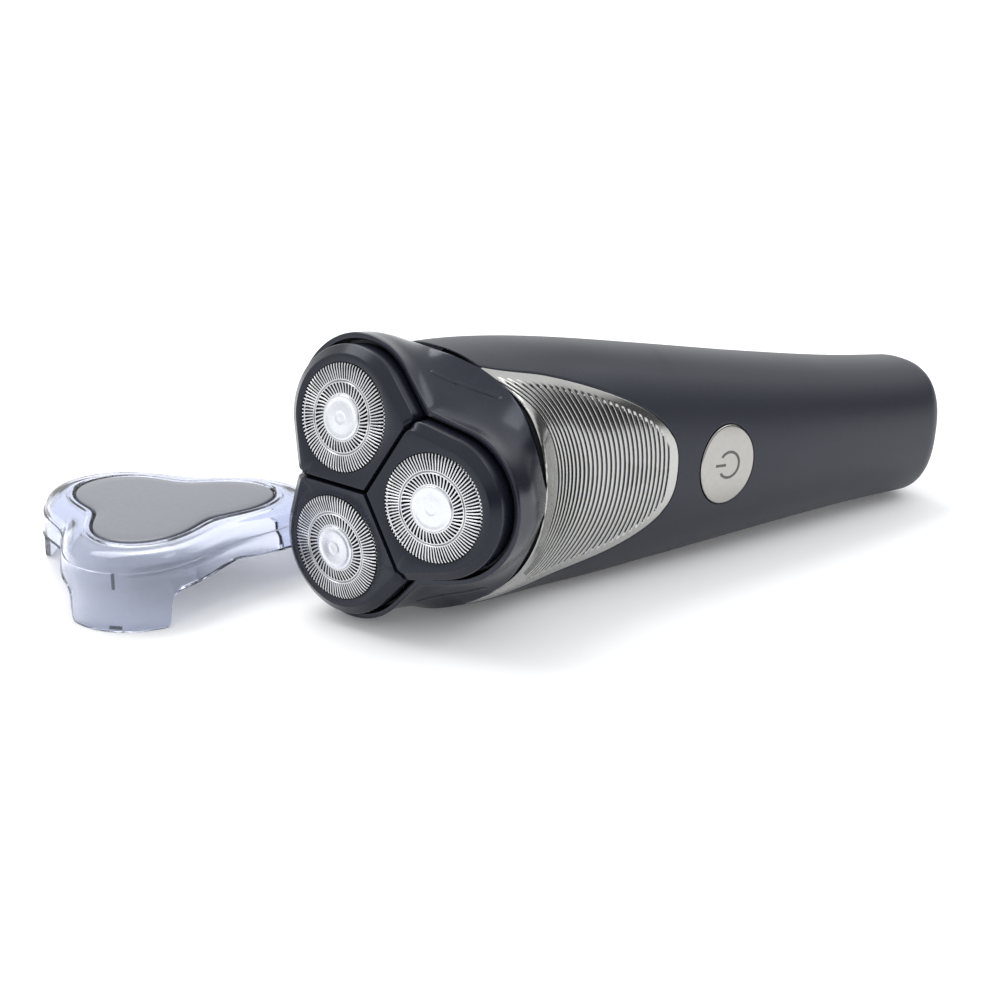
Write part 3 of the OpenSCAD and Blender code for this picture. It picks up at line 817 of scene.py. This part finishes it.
def cover_bar():
    """Long slanted bars raised on both sides of the cover."""
    piece = Piece(HEAD)
    count = 60
    for side in (-1, 1):
        rows = []
        for share, lift in ((-1, 0.0), (-0.78, 0.17), (-0.6, 0.2), (0.6, 0.2), (0.78, 0.17), (1, 0)):
            row = []
            for i in range(count + 1):
                s = i / count
                angle = 47 + 30 * s
                t = 0.86 - 0.38 * s + share * 0.04
                rise = lift * smoothstep(0, 0.06, s) * smoothstep(0, 0.06, 1 - s)
                row.append(cover_point(side * angle, t, 0.06 - rise))
            rows.append(row)
        piece.grid(rows)
    return piece.build("cover_bars", "shaving_unit", [], [cover_black])


# ---------- cutters ----------

def polar(r, angle, z):
    """Point at a radius and an angle from the front, in radians."""
    return np.array([r * math.sin(angle), -r * math.cos(angle), z])


def pod_edge(angle, r, z, soft=34):
    """Plan of a pod at height z about its own centre; angle in degrees from its front."""
    a = abs((angle + 180) % 360 - 180)
    straight = r if a < TANGENT else r / max(math.cos(math.radians(a - TANGENT)), 0.02)
    side = math.cos(math.radians(a - 150))  # share of the radius that points at a neighbour
    if side <= 0.02:
        return straight
    limit = (POD_RING * math.sin(math.radians(60)) - POD_GAP - (POD_R - min(r, POD_R)) * 0.07
             + z * math.sin(POD_CANT) * math.cos(math.radians(30))) / side
    return (straight ** -soft + limit ** -soft) ** (-1 / soft)


def pod_shell(k):
    """Pod with a flat face, a chamfer and a wall, cut straight towards its two neighbours."""
    piece = Piece(PODS[k - 1])
    turns = np.arange(0, 360, 2.0)
    profile = [(-2.2, 11.1), (-0.55, 11.1), (-0.36, 11.16), (-0.28, 11.3),
               (-0.28, POD_FLAT - 0.2), (-0.30, POD_FLAT - 0.07), (-0.36, POD_FLAT + 0.05),
               (-0.45, POD_FLAT + 0.15), (-1.45, POD_R - 0.3), (-1.58, POD_R - 0.17),
               (-1.75, POD_R - 0.06), (-2.0, POD_R), (-6.9, POD_R)]
    rows = []
    for z, r in profile:
        row = []
        for a in turns:
            reach = r if r < 11.4 else pod_edge(a, r, z)
            row.append(polar(reach, math.radians(a), z))
        rows.append(row)
    rows += [[polar(11.9, math.radians(a), z) for a in turns] for z in (-6.9, -3.2)]
    piece.grid(rows, wrap=True)
    return piece.build(f"pod_{k}_shell", f"pod_{k}", [f"pod_shell_{k}"],
                       [pod_black], sharp=40)


def slotted_track(piece, inner, outer, bars, fill, sweep, edge_drop=0.0):
    """Ring of narrow bars with open slots between them, turned by sweep radians."""
    pitch = 2 * math.pi / bars
    radii = np.linspace(inner, outer, 6)
    for i in range(bars):
        rows = []
        for side, z in ((-1, -0.45), (-1, -0.04), (-0.75, 0.0), (0.75, 0.0), (1, -0.04),
                        (1, -0.45)):
            row = []
            for r in radii:
                share = (r - inner) / (outer - inner)
                middle = i * pitch + sweep * share
                half = fill * pitch / 2 * (inner + outer) / 2 / r
                drop = edge_drop * max(0.0, share * 5 - 4) ** 2
                row.append(polar(r, middle + side * half, z - drop))
            rows.append(row)
        piece.grid(rows[1:-1])
        # The bars' side walls take the second slot, near-black painted shade.
        piece.grid(rows[:2], slot=1)
        piece.grid(rows[-2:], slot=1)
        tip = [row[-1] for row in rows[1:-1]]
        piece.grid([tip, [np.array([p[0], p[1], -0.75]) for p in tip]])


def revolve(piece, profile, steps=144, slot=0):
    """Surface of revolution from (radius, height) pairs."""
    turns = [2 * math.pi * i / steps for i in range(steps)]
    piece.grid([[polar(r, a, z) for a in turns] for r, z in profile], wrap=True, slot=slot)


def cutter_foil(k):
    """Thin steel foil with two rings of slots and a grooved ring between them."""
    piece = Piece(PODS[k - 1])
    slotted_track(piece, 7.72, 10.97, 90, 0.45, math.radians(2.2), edge_drop=0.22)
    slotted_track(piece, 4.9, 7.05, 50, 0.45, math.radians(6))
    revolve(piece, [(4.45, -0.42), (4.45, -0.02), (4.5, 0), (4.92, 0), (4.95, -0.03),
                    (4.95, -0.4)])
    revolve(piece, [(7.02, -0.4), (7.02, -0.02), (7.05, 0), (7.2, 0), (7.26, -0.08)])
    revolve(piece, [(7.26, -0.08), (7.34, -0.15), (7.44, -0.15), (7.52, -0.08)], slot=2)
    revolve(piece, [(7.52, -0.08), (7.58, 0), (7.72, 0), (7.75, -0.02), (7.75, -0.4)])
    revolve(piece, [(10.6, -0.72), (10.97, -0.70), (11.0, -0.76), (11.0, -2.9), (10.8, -2.9)])
    return piece.build(f"cutter_{k}_foil", f"pod_{k}", [f"cutter_foil_{k}"],
                       [foil_steel, slot_painted_shade, foil_shade], sharp=30)


def foil_disc(k):
    """Pressed disc in the middle of a foil: a rim, a shallow dish and a low dome."""
    piece = Piece(PODS[k - 1])
    revolve(piece, [(4.4, -0.3), (4.62, 0.02), (4.64, 0.12), (4.58, 0.24), (4.42, 0.33),
                    (4.2, 0.36), (3.98, 0.33), (3.8, 0.26), (3.3, 0.24), (2.3, 0.30),
                    (1.5, 0.36), (1.28, 0.36), (1.18, 0.31), (0.9, 0.30), (0.4, 0.32),
                    (0.01, 0.325)], steps=96)
    return piece.build(f"cutter_{k}_disc", f"pod_{k}", [f"foil_cap_{k}"],
                       [disc_steel], sharp=60)


# ---------- travel cap ----------

def cap_foot(angle):
    """Height of the cap's lower edge: legs on the lobes, low arches between them."""
    beyond = abs((angle + 420) % 120 - 60) - CAP_LEG_HALF
    return float(np.interp(beyond, *zip(*CAP_EDGE)))


def cap_point(angle, mean, swell, z):
    """Point of the cap's three-lobed outline, in degrees from the first lobe."""
    r = mean + swell * math.cos(math.radians(3 * angle))
    return np.array([r * math.cos(math.radians(angle)), r * math.sin(math.radians(angle)), z])


def cap_turns():
    """Angles round the cap, crowded at the sides of its legs."""
    turns = set(np.arange(0, 360, 2.0))
    for lobe in (0, 120, 240):
        for side in (-1, 1):
            for beyond, _ in CAP_EDGE[:-1]:
                turns.add(round((lobe + side * (CAP_LEG_HALF + beyond)) % 360, 3))
    return sorted(turns)


def cap_shell():
    """Clear shell: outside from the foot to the panel's seat, then inside back to the foot."""
    piece = Piece(CAP)
    turns = cap_turns()

    def ring(mean, swell, z):
        return [cap_point(a, mean, swell, max(z, cap_foot(a) + z * 0.01)) for a in turns]

    outside = [(28.45, 5.35, 0.0), (28.58, 5.35, 0.12), (28.6, 5.35, 0.3), (28.4, 5.34, 4),
               (28.2, 5.32, 8), (28.05, 5.3, 11.2), (28.0, 5.3, 12.5), (27.9, 5.3, 12.65),
               (27.65, 5.3, 12.7), (27.4, 5.28, 13.4), (27.1, 5.22, 14.4), (26.7, 5.15, 15.1),
               (26.1, 5.08, 15.65), (25.3, 5.02, 16.1), (24.3, 4.98, 16.3), (22.4, 4.92, 16.38),
               (21.9, 4.9, 16.4), (21.7, 4.9, 16.56), (21.2, 4.9, 16.6), (20.7, 4.88, 16.56),
               (20.45, 4.87, 16.4), (20.35, 4.86, 16.1), (20.35, 4.85, 15.3)]
    inside = [(22.4, 4.9, 15.25), (24.2, 4.95, 15.1), (25.0, 5.0, 14.7), (25.6, 5.05, 14.0),
              (26.0, 5.1, 13.0), (26.4, 5.15, 11.2), (26.9, 5.25, 8), (27.2, 5.28, 4),
              (27.4, 5.3, 0.3), (27.45, 5.3, 0.12), (27.6, 5.3, 0.0)]
    rows = [ring(*r) for r in outside + inside]
    rows.append(rows[0])
    piece.grid(rows, wrap=True)
    for lobe in (0, 120, 240):
        upright_bar(piece, lobe, 0.6, 9.0, 12.4, 27.15, 0.5)
        upright_bar(piece, lobe, 2.6, 0.35, 1.0, 27.3, 0.35)
    return piece.build("cap_clear_shell", "cap", ["cap_shell"],
                       [cap_clear, cap_grey], sharp=50)


def upright_bar(piece, lobe, width, low, high, mean, depth):
    """Small rib on the inside of a leg, at the middle of its lobe."""
    spread = math.degrees(width / 2 / (mean + 5.3))
    rows = []
    for z in (low, high):
        rows.append([cap_point(lobe + a, mean - d, 5.3, z) for a, d in (
            (-spread, 0), (-spread, depth), (spread, depth), (spread, 0))])
    piece.grid(rows, wrap=True, slot=1)
    for row in rows:
        piece.fan(row, slot=1)


def cap_panel():
    """Smoky flat panel set into the cap's top, with a fine groove round it whose floor is a near-black ring of
    painted shade.
    """
    piece = Piece(CAP)
    turns = np.arange(0, 360, 2.0)
    rows = [[cap_point(a, mean, swell, z) for a in turns] for mean, swell, z in (
        (19.7, 4.85, 15.3), (19.7, 4.85, 16.3), (19.62, 4.85, 16.5), (19.45, 4.84, 16.62),
        (19.1, 4.84, 16.7), (16, 4.2, 16.75), (10, 2.7, 16.78), (4, 1.0, 16.8), (0.05, 0, 16.8))]
    piece.grid(rows, wrap=True)
    piece.fan([cap_point(a, 19.7, 4.85, 15.3) for a in turns])
    # Floor of the groove: a near-black ring of painted shade.
    piece.grid([[cap_point(a, mean, 4.85, 15.6) for a in turns] for mean in (19.7, 20.34)],
               wrap=True, slot=1)
    return piece.build("cap_panel_smoke", "cap", ["cap_top_panel"],
                       [cap_grey, gap_painted_shade])


handle_front()
handle_rear()
grille_plate()
power_button()
power_mark()
head_cover()
cover_bar()
for number in (1, 2, 3):
    pod_shell(number)
    cutter_foil(number)
    foil_disc(number)
cap_shell()
cap_panel()


# ---------- floor, light and camera ----------

def pale_floor(half=3.0):
    """Square floor of twice this many metres a side."""
    mesh = bpy.data.meshes.new("floor")
    corners = [(-half, -half, 0), (half, -half, 0), (half, half, 0), (-half, half, 0)]
    mesh.from_pydata(corners, [], [(0, 1, 2, 3)])
    mesh.materials.append(material("floor_white", (0.93, 0.93, 0.94), 0.6, variation=0.01,
                                   bump=0.0, Specular_IOR_Level=0.1,
                                   Emission_Color=(1, 1, 1, 1), Emission_Strength=0.1))
    floor = bpy.data.objects.new("floor", mesh)
    bpy.context.collection.objects.link(floor)


pale_floor()


def studio_world():
    """White studio with one dark side low in front, which shows in reflections only."""
    world = bpy.data.worlds.new("studio")
    world.use_nodes = True
    nodes, links = world.node_tree.nodes, world.node_tree.links
    place = nodes.new("ShaderNodeTexCoord")
    parts = nodes.new("ShaderNodeSeparateXYZ")
    links.new(place.outputs["Generated"], parts.inputs["Vector"])
    toward = nodes.new("ShaderNodeVectorMath")
    toward.operation = "DOT_PRODUCT"
    toward.inputs[1].default_value = (0.57, -0.82, 0.0)
    links.new(place.outputs["Generated"], toward.inputs[0])
    sector = nodes.new("ShaderNodeMapRange")
    sector.interpolation_type = "SMOOTHSTEP"
    sector.inputs["From Min"].default_value = 0.15
    sector.inputs["From Max"].default_value = 0.55
    links.new(toward.outputs["Value"], sector.inputs["Value"])
    height = nodes.new("ShaderNodeMapRange")
    height.interpolation_type = "SMOOTHSTEP"
    height.inputs["From Min"].default_value = 0.24
    height.inputs["From Max"].default_value = 0.48
    height.inputs["To Min"].default_value = 1.0
    height.inputs["To Max"].default_value = 0.0
    links.new(parts.outputs["Z"], height.inputs["Value"])
    dark = nodes.new("ShaderNodeMath")
    dark.operation = "MULTIPLY"
    links.new(sector.outputs["Result"], dark.inputs[0])
    links.new(height.outputs["Result"], dark.inputs[1])
    light = nodes.new("ShaderNodeMapRange")
    light.inputs["To Min"].default_value = 1.05
    light.inputs["To Max"].default_value = 0.10
    seen = nodes.new("ShaderNodeLightPath")
    unseen = nodes.new("ShaderNodeMath")
    unseen.operation = "SUBTRACT"
    unseen.use_clamp = True
    links.new(dark.outputs["Value"], unseen.inputs[0])
    links.new(seen.outputs["Is Camera Ray"], unseen.inputs[1])
    links.new(unseen.outputs["Value"], light.inputs["Value"])
    links.new(light.outputs["Result"], nodes["Background"].inputs["Strength"])
    nodes["Background"].inputs["Color"].default_value = (0.98, 0.99, 1.0, 1)
    bpy.context.scene.world = world


studio_world()
bpy.context.scene.view_settings.view_transform = "Standard"

middle = Vector([(a + b) / 2 for a, b in zip(*cad_bounds)])


def softbox(name, direction, distance, size, power):
    """Area light that looks at the middle of the object."""
    lamp = bpy.data.lights.new(name, "AREA")
    lamp.shape = "RECTANGLE"
    lamp.size, lamp.size_y = size
    lamp.energy = power
    holder = bpy.data.objects.new(name, lamp)
    holder.location = middle + Vector(direction).normalized() * distance
    holder.rotation_euler = (middle - holder.location).to_track_quat("-Z", "Y").to_euler()
    bpy.context.collection.objects.link(holder)
    return holder


softbox("overhead", (-0.1, 0.55, 1), 1.1, (1.1, 0.6), 7)
softbox("front_right", (0.55, -0.45, 0.8), 1.1, (0.8, 0.35), 1.8)


def photo_camera(turn=math.radians(-34.95), rise=math.radians(19.02)):
    """Camera with the photograph's view: beyond the head, beside and above the shaver."""
    data = bpy.data.cameras.new("photo_view")
    data.lens = 64.8
    data.sensor_width = 36
    camera = bpy.data.objects.new("photo_view", data)
    tail = HANDLE.translation
    camera.location = (tail.x - 0.33474, tail.y - 0.30082, 0.14667)
    away = Vector((math.sin(turn) * math.cos(rise), -math.cos(turn) * math.cos(rise),
                   math.sin(rise)))
    camera.rotation_euler = away.to_track_quat("Z", "Y").to_euler()
    bpy.context.collection.objects.link(camera)
    bpy.context.scene.camera = camera


photo_camera()
